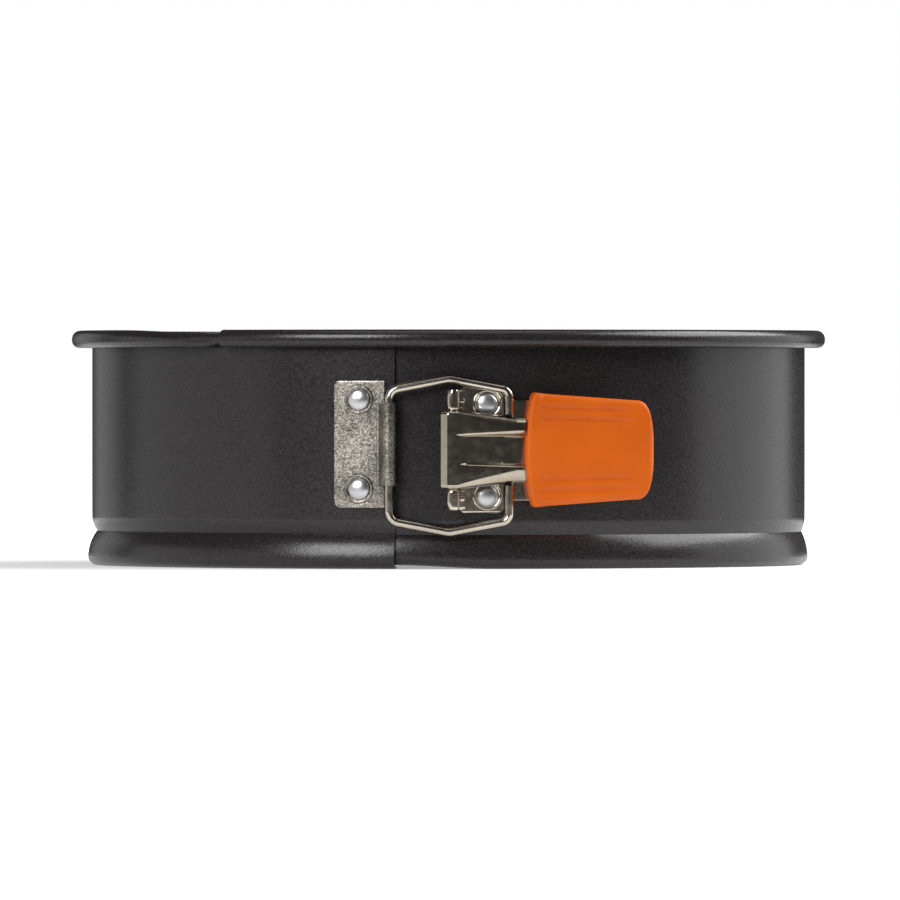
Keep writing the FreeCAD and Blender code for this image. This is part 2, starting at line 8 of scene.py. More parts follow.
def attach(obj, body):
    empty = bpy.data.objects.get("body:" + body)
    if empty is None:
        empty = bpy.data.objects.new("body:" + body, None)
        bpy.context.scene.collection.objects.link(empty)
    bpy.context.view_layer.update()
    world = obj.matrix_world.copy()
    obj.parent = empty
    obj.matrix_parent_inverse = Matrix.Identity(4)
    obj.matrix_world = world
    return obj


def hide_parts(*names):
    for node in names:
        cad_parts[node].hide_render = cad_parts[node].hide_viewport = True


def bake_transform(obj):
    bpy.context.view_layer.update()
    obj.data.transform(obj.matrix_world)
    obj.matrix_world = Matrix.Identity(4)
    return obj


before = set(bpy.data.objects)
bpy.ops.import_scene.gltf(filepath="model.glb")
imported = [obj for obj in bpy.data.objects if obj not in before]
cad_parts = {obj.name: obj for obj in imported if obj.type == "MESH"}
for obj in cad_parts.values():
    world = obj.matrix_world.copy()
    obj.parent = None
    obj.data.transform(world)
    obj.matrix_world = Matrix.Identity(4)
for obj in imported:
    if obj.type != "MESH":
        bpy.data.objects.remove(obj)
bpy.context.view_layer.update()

# Lengths are in millimetres here and become metres when a mesh is made. Angles round the ring
# are in degrees from the front, positive to the right. Heights are above the table.
MM = 0.001

# The ring's sheet, its outer radius and height, and the angles where its two ends lie. The left
# half bends about an axis a little further forward, so that its end is the outer layer.
SHEET = 0.8
WALL = 115.5
RING_TOP = 76.0
LAYER_SHIFT = 0.6
LEFT_END = -8.6
RIGHT_END = -37.0
BEAD_CORNER = 2.3
NECK_HEIGHT = 4.6

# The plates on the wall. A point on a plate is (out from the ring's axis, across the plate).
PLATE = 0.9
HINGE_ANGLE = -14.2
HINGE_MIDDLE = 39.6
HINGE_RIVETS = 14.2
BAIL_AXIS = (118.98, 10.41)
BRACKET_ANGLE = 4.83
BRACKET_RIVETS = 14.65
RIVETS_ACROSS = 2.2
PIN = (120.05, -9.05)

# The lever. A point on it is (along it from the pin, towards the wall).
LEVER_MIDDLE = 37.8
LEVER_TILT = 10.0
LEVER_SHEET = 1.0
FACE = -4.6
BAIL_HOLE = (17.84, -1.98)

# The bail: its wire's radius, and how far its parts are above or below its middle.
WIRE = 1.35
BAIL_MIDDLE = 36.0
BAIL_SHOULDER = 20.7
BAIL_PEAK = 24.3
BAIL_END = 11.3


# ---------------------------------------------------------------- shapes


def ease(start, end, value):
    """0 before start, 1 after end, smooth between them."""
    share = np.clip((value - start) / (end - start), 0.0, 1.0)
    return share * share * (3 - 2 * share)


def mix(first, second, share):
    """The value this share of the way from first to second."""
    return first + (second - first) * share


def arc(centre, radius, start, end, count=8):
    """Points on a circle's arc, between two angles in degrees."""
    angles = np.radians(np.linspace(start, end, count))
    return [(centre[0] + radius * math.cos(a), centre[1] + radius * math.sin(a)) for a in angles]


def at_angle(angle, forward=0.0, height=0.0):
    """Frame whose local X points out of the ring at this angle, local Y along it."""
    turn = Matrix.Rotation(math.radians(angle - 90), 4, "Z")
    return Matrix.Translation((0, -forward, height)) @ turn


def sheet_loop(path, thickness):
    """Closed outline of a sheet bent along this path, with rounded edges."""
    path = np.array(path, float)
    along = np.gradient(path, axis=0)
    along /= np.linalg.norm(along, axis=1)[:, None]
    across = np.stack([-along[:, 1], along[:, 0]], axis=1) * thickness / 2
    first = path[0] - along[0] * thickness * 0.4
    last = path[-1] + along[-1] * thickness * 0.4
    return np.vstack([first, path + across, last, (path - across)[::-1]])


def ladder(first, count):
    """Faces that close a loop from one side to the other, so that a bent sheet's end stays true."""
    half = count // 2
    faces = [(first, first + 1, first + count - 1)]
    for i in range(1, half - 1):
        faces.append((first + i, first + i + 1, first + count - i - 1, first + count - i))
    return faces + [(first + half - 1, first + half, first + half + 1)]


def loft(name, rings, place=None, crease=38.0):
    """Mesh through these closed rings of 3-D points, placed by a matrix in millimetres."""
    rings = [np.array(ring, float) for ring in rings]
    count = len(rings[0])
    points = np.vstack(rings)
    faces = []
    for row in range(len(rings) - 1):
        low = row * count
        for i in range(count):
            j = (i + 1) % count
            faces.append((low + i, low + j, low + count + j, low + count + i))
    faces += ladder(0, count)
    faces += ladder(len(points) - count, count)
    if place is not None:
        points = [place @ Vector(p) for p in points]
    mesh = bpy.data.meshes.new(name)
    mesh.from_pydata([tuple(c * MM for c in p) for p in points], [], faces)
    piece = bpy.data.objects.new(name, mesh)
    bpy.context.scene.collection.objects.link(piece)
    tidy_faces(piece, crease)
    return piece


def tidy_faces(piece, crease):
    """Turn every face outwards and shade it smooth, with edges sharper than the crease kept."""
    bpy.ops.object.select_all(action="DESELECT")
    piece.select_set(True)
    bpy.context.view_layer.objects.active = piece
    bpy.ops.object.mode_set(mode="EDIT")
    bpy.ops.mesh.select_all(action="SELECT")
    bpy.ops.mesh.normals_make_consistent(inside=False)
    bpy.ops.object.mode_set(mode="OBJECT")
    mesh = piece.data
    mesh.polygons.foreach_set("use_smooth", [True] * len(mesh.polygons))
    mesh.set_sharp_from_angle(angle=math.radians(crease))


def join(name, pieces):
    """Make one object of these pieces."""
    bpy.ops.object.select_all(action="DESELECT")
    for piece in pieces:
        piece.select_set(True)
    bpy.context.view_layer.objects.active = pieces[0]
    bpy.ops.object.join()
    pieces[0].name = name
    return pieces[0]


def lathe(name, profile, place, count=48):
    """Turned piece: (radius, height) from the outside to the middle."""
    angles = np.linspace(0, 2 * math.pi, count, endpoint=False)
    rings = []
    for radius, height in profile:
        rings.append([(radius * math.cos(a), radius * math.sin(a), height) for a in angles])
    return loft(name, rings, place, crease=60.0)


def tube(name, route, radius, count=20):
    """Round wire along a route of 3-D points that stays in one upright plane."""
    route = np.array(route, float)
    along = np.gradient(route, axis=0)
    along /= np.linalg.norm(along, axis=1)[:, None]
    span = route[np.argmax(route[:, 0])] - route[np.argmin(route[:, 0])]
    flat = np.cross([0, 0, 1], [span[0], span[1], 0])
    flat /= np.linalg.norm(flat)
    angles = np.linspace(0, 2 * math.pi, count, endpoint=False)
    rings = []
    for point, direction in zip(route, along):
        up = np.cross(direction, flat)
        rings.append([point + radius * (math.cos(a) * flat + math.sin(a) * up) for a in angles])
    return loft(name, rings, crease=60.0)


# ---------------------------------------------------------------- the ring


def bead_offset(height, middle, bulge, neck, crease):
    """How far the wall stands out at this height: a round bead, a crease, then a drawn-in neck."""
    if height >= crease:
        return -neck * max(1 - (height - crease) / NECK_HEIGHT, 0) ** 1.7
    if height >= middle:
        depth = bulge + neck
        radius = ((crease - middle) ** 2 + depth**2) / (2 * depth)
        return bulge - radius + math.sqrt(radius**2 - (height - middle) ** 2)
    tuck = 2.6
    share = (middle - height) / BEAD_CORNER
    return bulge - tuck * (1 - math.sqrt(max(1 - share**2, 0)))


def band_path(angle, left):
    """Centre line of the ring's sheet at one angle: (out from the wall, height)."""
    half = SHEET / 2
    # Where the left rim runs inside the right one, it is lower and narrower and its hem is higher.
    sink = ease(-64, -37, angle) if left else 0.0
    nest = ease(-47, -38, angle) if left else 0.0
    lift = ease(-40.5, -37.6, angle) if left else 0.0
    # The left half's bead is heavier. The right half's foot rises where it is the inner layer.
    heavy = ease(-170, -100, angle) if left else 0.0
    rise = 0.0 if left else 1.2 * (1 - ease(-9, 8, angle))
    bulge = mix(0.9, 1.3, heavy)
    neck = mix(1.1, 1.7, heavy)
    crease = mix(10.8, 11.1, heavy)
    top = mix(RING_TOP, 74.9, sink) - half
    low = mix(70.4, 71.6, lift) + half
    reach = mix(6.6, 3.9, nest) - half
    corner = mix(2.7, 1.7, nest) - half
    edge = mix(2.4, 1.3, nest) - half
    hem = mix(2.9, 1.7, nest)
    path = [(-4.0, rise + half), (-3.4, rise + half)]
    middle = rise + half + BEAD_CORNER
    below = middle - BEAD_CORNER * np.sin(np.radians(np.linspace(84, 0, 12)))
    above = np.linspace(middle + 0.4, crease - 0.05, 18)
    drawn_in = np.linspace(crease + 0.15, 16.0, 16)
    for height in np.concatenate([below, above, drawn_in]):
        path.append((bead_offset(height, middle, bulge, neck, crease) - half, height))
    for height in np.linspace(20.0, top - 3.0, 9):
        path.append((-half, height))
    path += arc((1.0 - half, top - 1.0), 1.0, 180, 90)
    path.append((2.2, top))
    path += arc((reach - corner, top - corner), corner, 90, 0)
    path += arc((reach - edge, low + edge), edge, 0, -90, 8)
    path.append((reach + half - hem, low))
    return path


def band_piece(name, start, end, left):
    """The ring between two angles, with a section every three quarters of a degree or less."""
    radius = WALL + (LAYER_SHIFT if left else 0.0)
    forward = LAYER_SHIFT if left else 0.0
    rings = []
    for angle in np.linspace(start, end, int(abs(end - start) / 0.75) + 2):
        place = at_angle(angle, forward)
        loop = sheet_loop(band_path(angle, left), SHEET)
        rings.append([place @ Vector((radius + out, 0, height)) for out, height in loop])
    return loft(name, rings)


# Each quarter or so of the ring: (name, its two end angles, the bodies at its ends, the angles
# between which it bends from one body to the other, the CAD nodes that it replaces).
RING = [
    (
        "ring_front_left",
        (LEFT_END, -90),
        ("left_front", "left_side"),
        (-30, -60),
        ("band_left_front",),
    ),
    (
        "ring_rear_left",
        (-90, -180),
        ("left_side", "band_back"),
        (-120, -150),
        ("band_left_side",),
    ),
    (
        "ring_rear_right",
        (180, 90),
        ("band_back", "right_side"),
        (150, 120),
        ("band_back",),
    ),
    (
        "ring_front_right",
        (RIGHT_END, 90),
        ("right_front", "right_side"),
        (30, 60),
        ("band_right_front", "band_right_side"),
    ),
]
ring_pieces = []
for name, (start, end), (first, second), (bend_start, bend_end), nodes in RING:
    piece = band_piece(name, start, end, left=name.endswith("left"))
    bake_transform(piece)
    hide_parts(*nodes)
    ring_pieces.append(piece)


# ---------------------------------------------------------------- hinge plate and bracket


def leaf(name, place, radius, left, right, half_height, corners):
    """Plate that lies on the wall, from one tangent distance to the other. Corners: left, right."""
    rings = []
    steps = np.concatenate([np.linspace(0, 2.4, 9), [6.0]])
    levels = np.concatenate([-half_height + steps, [0.0], (half_height - steps)[::-1]])
    for level in levels:
        from_end = half_height - abs(level)
        cut = [c - math.sqrt(max(c * c - max(c - from_end, 0) ** 2, 0)) for c in corners]
        thickness = PLATE * (0.6 if from_end < 0.05 else 1.0)
        across = np.linspace(left + cut[0], right - cut[1], 14)
        loop = sheet_loop([(math.sqrt(radius**2 - t * t), t) for t in across], thickness)
        rings.append([(x, y, level) for x, y in loop])
    return loft(name, rings, place)


def extrude_sheet(name, place, path, low, high, thickness=PLATE):
    """Bent sheet of this path, upright between two heights, with softened ends."""
    rings = []
    for level, share in ((low, 0.6), (low + 0.15, 1.0), (high - 0.15, 1.0), (high, 0.6)):
        rings.append([(x, y, level) for x, y in sheet_loop(path, thickness * share)])
    return loft(name, rings, place)


def outward(place, seat, across, height):
    """Frame on a plate's front whose local Z points away from the ring."""
    return place @ Matrix.Translation((seat, across, height)) @ Matrix.Rotation(math.pi / 2, 4, "Y")


def boss(name, place):
    """Raised ring that a rivet sits in."""
    profile = [
        (4.8, -0.1),
        (4.7, 0.15),
        (4.45, 0.4),
        (4.2, 0.48),
        (3.95, 0.4),
        (3.7, 0.12),
        (0.1, 0.0),
    ]
    return lathe(name, profile, place)


def rivet(name, place, body):
    """Domed rivet head."""
    radius, edge, dome = 3.45, 0.15, 1.45
    profile = [(radius - 0.1, 0.0), (radius, edge)]
    for angle in np.radians(np.linspace(8, 88, 14)):
        profile.append((radius * math.cos(angle), edge + dome * math.sin(angle)))
    piece = lathe(name + "_head", profile, place)
    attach(piece, body)
    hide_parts(name)
    return piece


hinge_place = at_angle(HINGE_ANGLE, LAYER_SHIFT, HINGE_MIDDLE)
hinge_radius = WALL + LAYER_SHIFT + PLATE / 2
hinge_seat = hinge_radius + PLATE / 2
radial, tangent = BAIL_AXIS

# The curl leaves the leaf's edge, goes round the wire and comes back to the leaf.
curl = [(hinge_radius, 7.6), (hinge_radius + 0.2, 8.8), (radial - 1.88, tangent - 0.7)]
curl += arc((radial, tangent), 1.85, 180, -50, 26)
curl += [(hinge_radius + 1.0, 6.9), (hinge_radius + 0.88, 6.6), (hinge_radius + 0.86, 6.2)]
hinge_parts = [
    leaf("leaf", hinge_place, hinge_radius, -8.1, 8.1, 20.2, (2.2, 0.3)),
    extrude_sheet("curl", hinge_place, curl, -13.1, 13.1, 0.7),
]
for height in (HINGE_RIVETS, -HINGE_RIVETS):
    hinge_parts.append(boss("boss", outward(hinge_place, hinge_seat, 0, height)))
hinge_plate = join("hinge_leaf", hinge_parts)
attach(hinge_plate, "left_front")
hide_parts("bail_hinge_plate")

bracket_place = at_angle(BRACKET_ANGLE, 0, LEVER_MIDDLE)
bracket_radius = WALL + PLATE / 2
bracket_seat = bracket_radius + PLATE / 2
radial, tangent = PIN

# Each knuckle rises from the foot and goes round the pin, and it swells between its ends.
KNUCKLE_START = 12.6
KNUCKLE_LENGTH = 6.4
knuckle = [(bracket_radius, tangent + 4.2), (bracket_radius + 0.02, tangent + 3.2)]
knuckle += [(bracket_radius + 0.5, tangent + 2.2), (bracket_radius + 1.4, tangent + 1.85)]
knuckle += arc((radial, tangent), 1.78, 90, -200, 22)
bracket_parts = [leaf("foot", bracket_place, bracket_radius, tangent + 3.0, 7.3, 20.0, (1.0, 2.0))]
for side in (1, -1):
    rings = []
    for share in np.linspace(0, 1, 13):
        level = (KNUCKLE_START + KNUCKLE_LENGTH * share) * side
        swell = 1 - 0.3 * abs(2 * share - 0.9) ** 3
        ends = 0.6 if share in (0, 1) else 1.0
        ring = []
        for x, y in sheet_loop(knuckle, 0.85 * ends):
            ring.append((x, tangent + (y - tangent) * (swell if y < tangent else 1), level))
        rings.append(ring)
    bracket_parts.append(loft("knuckle", rings, bracket_place))
    seat = outward(bracket_place, bracket_seat, RIVETS_ACROSS, BRACKET_RIVETS * side)
    bracket_parts.append(boss("boss", seat))
    profile = [(1.15, -0.1), (1.05, 0.12), (0.8, 0.32), (0.45, 0.42), (0.05, 0.46)]
    dimple = outward(bracket_place, bracket_seat, -5.9, 15.5 * side)
    bracket_parts.append(lathe("dimple", profile, dimple, 24))
bracket = join("bracket_leaf", bracket_parts)
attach(bracket, "right_front")
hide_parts("lever_bracket")

rivets = []
for name, side in (("upper", 1), ("lower", -1)):
    seat = outward(hinge_place, hinge_seat, 0, HINGE_RIVETS * side)
    rivets.append(rivet(f"hinge_rivet_{name}", seat, "left_front"))
    seat = outward(bracket_place, bracket_seat, RIVETS_ACROSS, BRACKET_RIVETS * side)
    rivets.append(rivet(f"bracket_rivet_{name}", seat, "right_front"))


# ---------------------------------------------------------------- lever

pin_point = at_angle(BRACKET_ANGLE) @ Vector((PIN[0], PIN[1], 0))
lever_turn = Matrix.Rotation(math.radians(LEVER_TILT), 4, "Z")
lever_place = Matrix.Translation(pin_point + Vector((0, 0, LEVER_MIDDLE))) @ lever_turn


def flange_depth(along):
    """How deep the flanges reach behind the lever's face: deep at the pin and round the bail's hole."""
    narrow = mix(6.3, 3.9, ease(3.0, 7.5, along))
    hole = mix(narrow, 4.7, ease(14.5, 16.0, along))
    return mix(hole, 4.5, ease(19.8, 20.0, along))


def lever_section(along, depth):
    """Path across the channel: (depth behind the face, height), one flange to the other."""
    # The face narrows, its edges grow rounder and its groove deepens, away from the nose.
    share = min(max((along - 1.0) / 19.0, 0.0), 1.0)
    half = 11.8 - 1.6 * share
    bend = mix(0.7, 3.9, share**0.8)
    groove = mix(1.3, 1.7, share) * min(max((along - 1.0) / 2.8, 0.0), 1.0)
    outer = mix(5.0, 6.1, share)
    inner = mix(4.6, 4.1, share)
    middle = LEVER_SHEET / 2
    side = [(d, half) for d in np.linspace(depth, bend + middle + 0.05, 4)]
    side += [(middle + bend - b, half - bend + a) for a, b in arc((0, 0), bend, 0, 90, 9)]
    for level in np.linspace(half - bend - 0.1, outer + 0.1, 3):
        side.append((middle, level))
    for level in np.linspace(outer, inner, 9):
        side.append((middle + groove * ease(outer, inner, level), level))
    for level in np.linspace(inner - 0.3, 0.4, 5):
        side.append((middle + groove, level))
    return side + [(depth, -level) for depth, level in reversed(side)]


# The nose seen from above: (along, front, direction that the sheet faces, depth of its flanges).
NOSE = [
    (-4.17, -1.94, 222, 2.7),
    (-3.30, -2.91, 222, 2.7),
    (-2.66, -3.63, 222, 2.7),
    (-2.50, -3.80, 228, 2.7),
    (-2.30, -3.93, 240, 2.8),
    (-2.05, -4.02, 252, 3.0),
    (-1.80, -4.08, 258, 3.2),
    (-0.80, -4.29, 258, 4.4),
    (0.00, -4.45, 260, 5.4),
    (0.80, -4.56, 265, 6.0),
]
lever_rings = []
for along, front, facing, deep in NOSE:
    inward = Vector((-math.cos(math.radians(facing)), -math.sin(math.radians(facing)), 0))
    ring = []
    for depth, level in sheet_loop(lever_section(along, deep), LEVER_SHEET):
        ring.append(Vector((along, front, level)) + inward * depth)
    lever_rings.append(ring)
stops = np.concatenate([np.linspace(1.5, 19.75, 60), [19.85, 19.95, 20.2, 21.5, 22.9]])
for along in stops:
    ring = []
    for depth, level in sheet_loop(lever_section(along, flange_depth(along)), LEVER_SHEET):
        ring.append((along, FACE + depth, level))
    lever_rings.append(ring)
lever_parts = [loft("channel", lever_rings, lever_place)]

# The tongue behind the channel: (along, half width). It carries the grip.
WINGS = [(18.7, 15.2), (18.9, 15.9), (19.2, 16.1), (30, 16.1), (57.5, 11.0)]
WINGS_BEHIND_FACE = 2.9
wing_rings = []
for along, half in WINGS:
    thickness = LEVER_SHEET * (0.6 if along < 18.8 else 1.0)
    loop = sheet_loop([(0, level) for level in np.linspace(-half + 0.4, half - 0.4, 9)], thickness)
    wing_rings.append([(along, FACE + WINGS_BEHIND_FACE + depth, level) for depth, level in loop])
lever_parts.append(loft("wings", wing_rings, lever_place))
lever = join("lever_pressing", lever_parts)
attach(lever, "lever")
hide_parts("lever")


# ---------------------------------------------------------------- grip

# The sleeve along the lever: where it starts and ends, and where its rounded tip starts.
GRIP_START = 22.6
GRIP_END = 63.9
TIP_START = 57.3
GRIP_MIDDLE = -4.1


def grip_half_width(along):
    """Half width of the grip's outline, with its rounded tip."""
    straight = mix(18.25, 15.75, min((along - GRIP_START) / (TIP_START - GRIP_START), 1.0))
    share = max(along - TIP_START, 0) / (GRIP_END - TIP_START)
    return straight * max(1 - share**3.2, 0) ** 0.4545


def grip_ring(along, inset):
    """Section of the sleeve, with a lip at its open end and two shallow grooves on each side."""
    half_width = max(grip_half_width(along) - inset, 0.02)
    lip = 0.45 * (1 - ease(25.0, 27.0, along))
    tip = max(along - (GRIP_END - 2.2), 0) / 2.2
    half_thick = (3.0 + lip - inset) * math.sqrt(max(1 - tip**2, 0.001))
    corner = min(1.7, half_width * 0.9, half_thick * 0.9)
    flat = half_width - corner
    fade = ease(26.0, 28.5, along) * (1 - ease(50, 60, along))
    lean = (along - GRIP_START) / (GRIP_END - GRIP_START)
    ring = []
    for level in np.linspace(-flat, flat, 91):
        share = abs(level) / max(half_width, 1)
        grooves = sum(
            math.exp(-(((share - place - drift * lean) / 0.05) ** 2))
            for place, drift in ((0.54, 0.03), (0.735, 0.05))
        )
        crown = 0.5 * (1 - (level / max(half_width, 1)) ** 2)
        ring.append((-half_thick - crown * (1 - tip) + 0.7 * fade * grooves, level))

    def round_corner(face, edge, start, end):
        """Corner between a face (-1 front, 1 back) and an edge (1 upper, -1 lower)."""
        points = []
        for angle in np.radians(np.linspace(start, end, 7)):
            depth = half_thick - corner + corner * math.sin(angle)
            level = flat + corner * math.cos(angle)
            points.append((face * depth, edge * level))
        return points

    ring += round_corner(-1, 1, 80, 0)
    ring += round_corner(1, 1, 0, 80)
    ring += [(half_thick, level) for level in np.linspace(flat, -flat, 15)]
    ring += round_corner(1, -1, 80, 0)
    ring += round_corner(-1, -1, 0, 80)
    bow = 2.0 * (1 - ease(GRIP_START, 32, along))
    section = []
    for depth, level in ring:
        bowed = along + bow * abs(level / half_width) ** 2.5
        section.append((bowed, GRIP_MIDDLE + depth, level))
    return section


grip_rings = [grip_ring(GRIP_START, 1.0), grip_ring(GRIP_START + 0.15, 0.55)]
grip_rings += [grip_ring(GRIP_START + 0.45, 0.2), grip_ring(GRIP_START + 0.9, 0.0)]
grip_stops = np.concatenate(
    [
        np.linspace(24.5, 29, 12),
        np.linspace(30, 56, 20),
        GRIP_END - 7 + 7 * np.sin(np.radians(np.linspace(5, 89.5, 34))),
    ]
)
for along in grip_stops:
    grip_rings.append(grip_ring(along, 0.0))
grip = loft("grip_sleeve", grip_rings, lever_place, crease=75.0)
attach(grip, "lever")
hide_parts("lever_grip")


# ---------------------------------------------------------------- bail

hinge_point = at_angle(HINGE_ANGLE, LAYER_SHIFT) @ Vector((BAIL_AXIS[0], BAIL_AXIS[1], 0))
hook_point = lever_turn @ Vector((BAIL_HOLE[0], BAIL_HOLE[1], 0)) + pin_point


def bent_route(points, bends):
    """Straight runs joined by tangent arcs of these radii."""
    route = [points[0]]
    for index, radius in enumerate(bends, start=1):
        corner = points[index]
        back = (points[index - 1] - corner).normalized()
        ahead = (points[index + 1] - corner).normalized()
        half = back.angle(ahead) / 2
        centre = corner + (back + ahead).normalized() * (radius / math.sin(half))
        enter = corner + back * (radius / math.tan(half)) - centre
        leave = corner + ahead * (radius / math.tan(half)) - centre
        for share in np.linspace(0, 1, 12):
            route.append(centre + enter.slerp(leave, share) * enter.length)
    return route + [points[-1]]


def bail_point(share, height):
    """Point of the bail, this share of the way from the hinge to the lever's hole."""
    return hinge_point.lerp(hook_point, share) + Vector((0, 0, height))


BAIL_CORNERS = [
    (1.0, LEVER_MIDDLE + BAIL_END),
    (1.0, BAIL_MIDDLE + BAIL_SHOULDER),
    (0.5, BAIL_MIDDLE + BAIL_PEAK),
    (0.0, BAIL_MIDDLE + BAIL_SHOULDER),
    (0.0, BAIL_MIDDLE - BAIL_SHOULDER),
    (0.5, BAIL_MIDDLE - BAIL_PEAK),
    (1.0, BAIL_MIDDLE - BAIL_SHOULDER),
    (1.0, LEVER_MIDDLE - BAIL_END),
]
BAIL_BENDS = (2.6, 6.0, 3.6, 3.6, 6.0, 2.6)
corners = [bail_point(share, height) for share, height in BAIL_CORNERS]
bail = tube("bail_loop", bent_route(corners, BAIL_BENDS), WIRE)
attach(bail, "bail")
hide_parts("bail_wire")


# ---------------------------------------------------------------- materials


def new_material(name):
    """Node material: (material, its tree, its main shader, coordinates in metres)."""
    material = bpy.data.materials.new(name)
    material.use_nodes = True
    tree = material.node_tree
    shader = next(n for n in tree.nodes if n.type == "BSDF_PRINCIPLED")
    place = tree.nodes.new("ShaderNodeTexCoord").outputs["Object"]
    return material, tree, shader, place


def noise(tree, place, per_metre, detail=2.0):
    """Soft noise with this many waves a metre."""
    node = tree.nodes.new("ShaderNodeTexNoise")
    node.inputs["Scale"].default_value = per_metre
    node.inputs["Detail"].default_value = detail
    tree.links.new(place, node.inputs["Vector"])
    return node.outputs["Fac"]


def flecks(tree, place, per_metre):
    """A random value for each tiny cell, for flakes and crystals."""
    node = tree.nodes.new("ShaderNodeTexVoronoi")
    node.inputs["Scale"].default_value = per_metre
    tree.links.new(place, node.inputs["Vector"])
    split = tree.nodes.new("ShaderNodeSeparateColor")
    tree.links.new(node.outputs["Color"], split.inputs["Color"])
    return split.outputs["Red"]


def ramp(tree, value, stops):
    """Colour ramp over (position, colour) stops; a number stands for a grey."""
    node = tree.nodes.new("ShaderNodeValToRGB")
    points = node.color_ramp.elements
    while len(points) < len(stops):
        points.new(0.5)
    for point, (position, value_there) in zip(points, stops):
        colour = value_there if isinstance(value_there, tuple) else (value_there,) * 3
        point.position = position
        point.color = (*colour, 1.0)
    tree.links.new(value, node.inputs["Fac"])
    return node.outputs["Color"]


def multiplied(tree, first, second):
    """One colour multiplied by another."""
    node = tree.nodes.new("ShaderNodeMix")
    node.data_type = "RGBA"
    node.blend_type = "MULTIPLY"
    node.inputs["Factor"].default_value = 1.0
    tree.links.new(first, node.inputs["A"])
    tree.links.new(second, node.inputs["B"])
    return node.outputs["Result"]


def bump(tree, shader, height, distance):
    """Relief of this height in metres."""
    node = tree.nodes.new("ShaderNodeBump")
    node.inputs["Strength"].default_value = 1.0
    node.inputs["Distance"].default_value = distance
    tree.links.new(height, node.inputs["Height"])
    tree.links.new(node.outputs["Normal"], shader.inputs["Normal"])


def coating(name, dark, light):
    """Baked non-stick coat: near black, with metal flakes and a fine orange peel."""
    material, tree, shader, place = new_material(name)
    middle = tuple(mix(a, b, 0.5) for a, b in zip(dark, light))
    flake = ramp(tree, flecks(tree, place, 3200), [(0.0, dark), (0.7, middle), (1.0, light)])
    cloud = ramp(tree, noise(tree, place, 1400, 3), [(0.3, 0.85), (0.7, 1.15)])
    tree.links.new(multiplied(tree, flake, cloud), shader.inputs["Base Color"])
    rough = ramp(tree, noise(tree, place, 900, 2), [(0.3, 0.22), (0.7, 0.30)])
    tree.links.new(rough, shader.inputs["Roughness"])
    shader.inputs["Metallic"].default_value = 0.15
    shader.inputs["Specular IOR Level"].default_value = 0.5
    bump(tree, shader, noise(tree, place, 1200, 2), 0.00004)
    return material


def plated(name, dark, light, grain, rough, depth, dim_patches=0.9):
    """Nickel-plated steel with a crystalline grain of this many cells a metre."""
    material, tree, shader, place = new_material(name)
    crystal = ramp(tree, flecks(tree, place, grain), [(0.0, dark), (1.0, light)])
    # Soft random patches darken the colour, down to the lowest share given.
    cloud = ramp(tree, noise(tree, place, 110, 4), [(0.38, dim_patches), (0.62, 1.06)])
    tree.links.new(multiplied(tree, crystal, cloud), shader.inputs["Base Color"])
    shader.inputs["Metallic"].default_value = 1.0
    low, high = rough
    roughness = ramp(tree, noise(tree, place, 420, 3), [(0.3, low), (0.7, high)])
    tree.links.new(roughness, shader.inputs["Roughness"])
    bump(tree, shader, noise(tree, place, grain * 0.8, 3), depth)
    return material


def silicone(name, dark, light):
    """Moulded silicone: colour, with a soft sheen and a fine skin."""
    material, tree, shader, place = new_material(name)
    colour = ramp(tree, noise(tree, place, 60, 3), [(0.35, dark), (0.65, light)])
    tree.links.new(colour, shader.inputs["Base Color"])
    rough = ramp(tree, noise(tree, place, 900, 2), [(0.3, 0.40), (0.7, 0.52)])
    tree.links.new(rough, shader.inputs["Roughness"])
    shader.inputs["Specular IOR Level"].default_value = 0.25
    bump(tree, shader, noise(tree, place, 1400, 2), 0.00002)
    return material


band_coat = coating("band_coating", (0.011, 0.0095, 0.0095), (0.036, 0.032, 0.033))
base_coat = coating("base_coating", (0.010, 0.010, 0.010), (0.030, 0.029, 0.030))
grained_nickel = plated(
    "grained_nickel",
    dark=(0.10, 0.092, 0.076),
    light=(0.52, 0.485, 0.43),
    grain=2600,
    rough=(0.26, 0.42),
    depth=0.00009,
    # the hinge plate's colour darkens in soft random patches, down to this share
    dim_patches=0.62,
)
smooth_nickel = plated(
    "smooth_nickel",
    dark=(0.44, 0.39, 0.31),
    light=(0.52, 0.47, 0.38),
    grain=3000,
    rough=(0.12, 0.2),
    depth=0.000006,
)
wire_nickel = plated(
    "wire_nickel",
    dark=(0.54, 0.49, 0.41),
    light=(0.62, 0.56, 0.48),
    grain=3000,
    rough=(0.14, 0.2),
    depth=0.000003,
)
rivet_metal = plated(
    "rivet_metal",
    dark=(0.56, 0.56, 0.57),
    light=(0.64, 0.64, 0.66),
    grain=3000,
    rough=(0.3, 0.38),
    depth=0.00001,
)
orange = silicone("orange_silicone", (0.57, 0.096, 0.0012), (0.63, 0.112, 0.0016))


def paint(piece, material):
    """Give a piece this material only."""
    piece.data.materials.clear()
    piece.data.materials.append(material)


for piece in ring_pieces:
    paint(piece, band_coat)
for piece in rivets:
    paint(piece, rivet_metal)
paint(hinge_plate, grained_nickel)
paint(bracket, wire_nickel)
paint(lever, smooth_nickel)
paint(bail, wire_nickel)
paint(grip, orange)
for node, material in (("base_plate", base_coat), ("lever_pin", wire_nickel)):
    for index in range(len(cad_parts[node].material_slots)):
        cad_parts[node].material_slots[index].material = material


# ---------------------------------------------------------------- studio

bpy.context.scene.view_settings.view_transform = "Standard"


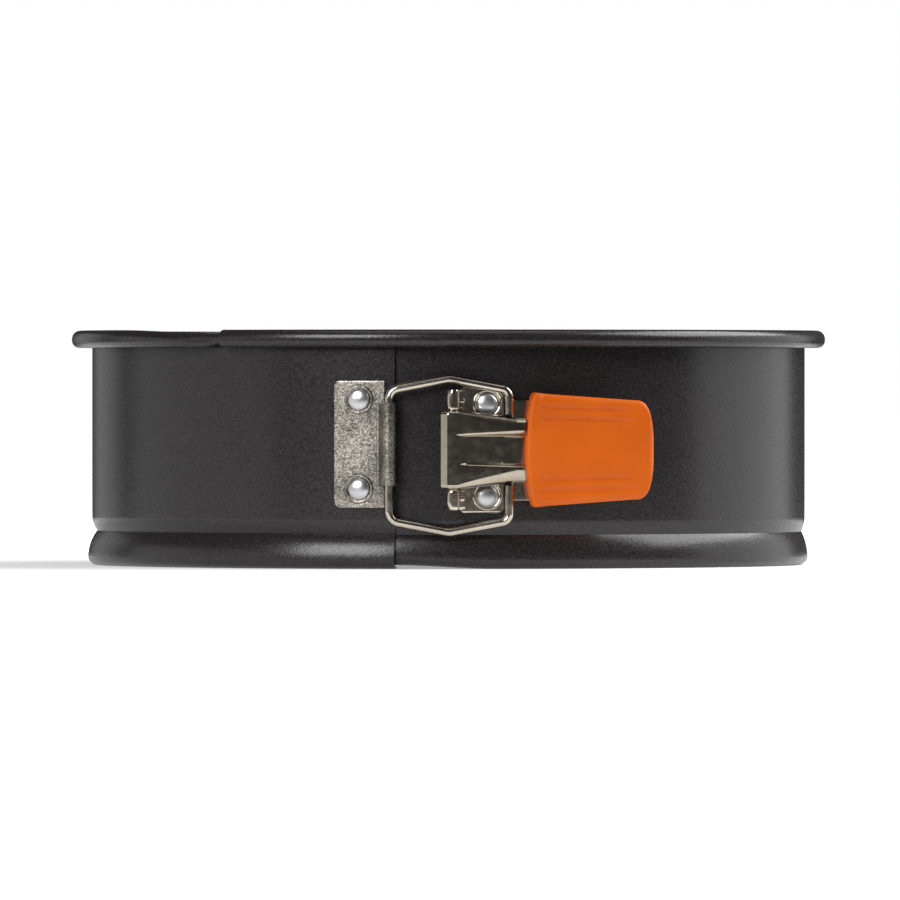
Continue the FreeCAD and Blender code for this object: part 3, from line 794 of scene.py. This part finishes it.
def flat_disc(name, radius, height, colour, glow):
    """Round piece of floor, centred under the pan."""
    angles = np.linspace(0, 2 * math.pi, 96, endpoint=False)
    ring = [(radius * math.cos(a), radius * math.sin(a), height) for a in angles]
    mesh = bpy.data.meshes.new(name)
    mesh.from_pydata(ring, [], [tuple(range(len(ring)))])
    piece = bpy.data.objects.new(name, mesh)
    bpy.context.scene.collection.objects.link(piece)
    material, _, shader, _ = new_material(name)
    shader.inputs["Base Color"].default_value = (colour, colour, colour, 1)
    shader.inputs["Roughness"].default_value = 0.9
    shader.inputs["Specular IOR Level"].default_value = 0.1
    shader.inputs["Emission Color"].default_value = (1, 1, 1, 1)
    shader.inputs["Emission Strength"].default_value = glow
    mesh.materials.append(material)
    return piece


# The table near the pan lights it from below. The floor round it is only a white backdrop.
flat_disc("table", 0.36, 0, 0.7, 0.35)
backdrop = flat_disc("floor", 20, -0.0005, 0.8, 1.0)
backdrop.visible_diffuse = False
backdrop.visible_glossy = False

world = bpy.data.worlds.new("studio")
world.use_nodes = True
bpy.context.scene.world = world
sky = world.node_tree.nodes["Background"]
paths = world.node_tree.nodes.new("ShaderNodeLightPath")

# The backdrop is white to the camera, but it hardly lights or shows in the metal.
brightness = world.node_tree.nodes.new("ShaderNodeMapRange")
world.node_tree.links.new(paths.outputs["Is Camera Ray"], brightness.inputs["Value"])
brightness.inputs["To Min"].default_value = 0.05
brightness.inputs["To Max"].default_value = 1.0
world.node_tree.links.new(brightness.outputs["Result"], sky.inputs["Strength"])
sky.inputs["Color"].default_value = (1, 1, 1, 1)


def softbox(name, azimuth, distance, height, width, tall, power):
    """Area light at this azimuth from the front, aimed at the middle of the pan."""
    data = bpy.data.lights.new(name, "AREA")
    data.shape = "RECTANGLE"
    data.size = width
    data.size_y = tall
    data.energy = power
    light = bpy.data.objects.new(name, data)
    angle = math.radians(azimuth)
    light.location = (distance * math.sin(angle), -distance * math.cos(angle), height)
    aim = Vector((0, 0, 0.04)) - light.location
    light.rotation_euler = aim.to_track_quat("-Z", "Y").to_euler()
    light.visible_camera = False
    bpy.context.scene.collection.objects.link(light)


# (name, azimuth, distance, height, width, tall, power), in degrees, metres and watts.
SOFTBOXES = [
    ("front_left", -34, 1.6, 0.77, 0.88, 0.82, 21),
    ("right_above", 100, 1.3, 1.15, 1.8, 1.2, 42),
    ("overhead", 0, 0.1, 2.2, 1.6, 1.6, 8),
    ("right_panel", 112, 1.7, 0.15, 1.8, 0.9, 5.6),
    ("left_panel", -88, 1.7, 0.15, 2.1, 0.9, 3.6),
    ("left_rear", -143, 1.7, 0.15, 0.8, 0.9, 1.0),
]
for settings in SOFTBOXES:
    softbox(*settings)

camera_data = bpy.data.cameras.new("camera")
camera_data.sensor_width = 36.0
camera_data.lens = 567.0
camera_data.clip_end = 60.0
camera = bpy.data.objects.new("camera", camera_data)
camera.location = (0.0002, -4.61, 0.060)
aim = Vector((0.0002, 0, 0.0372)) - camera.location
camera.rotation_euler = aim.to_track_quat("-Z", "Y").to_euler()
bpy.context.scene.collection.objects.link(camera)
bpy.context.scene.camera = camera
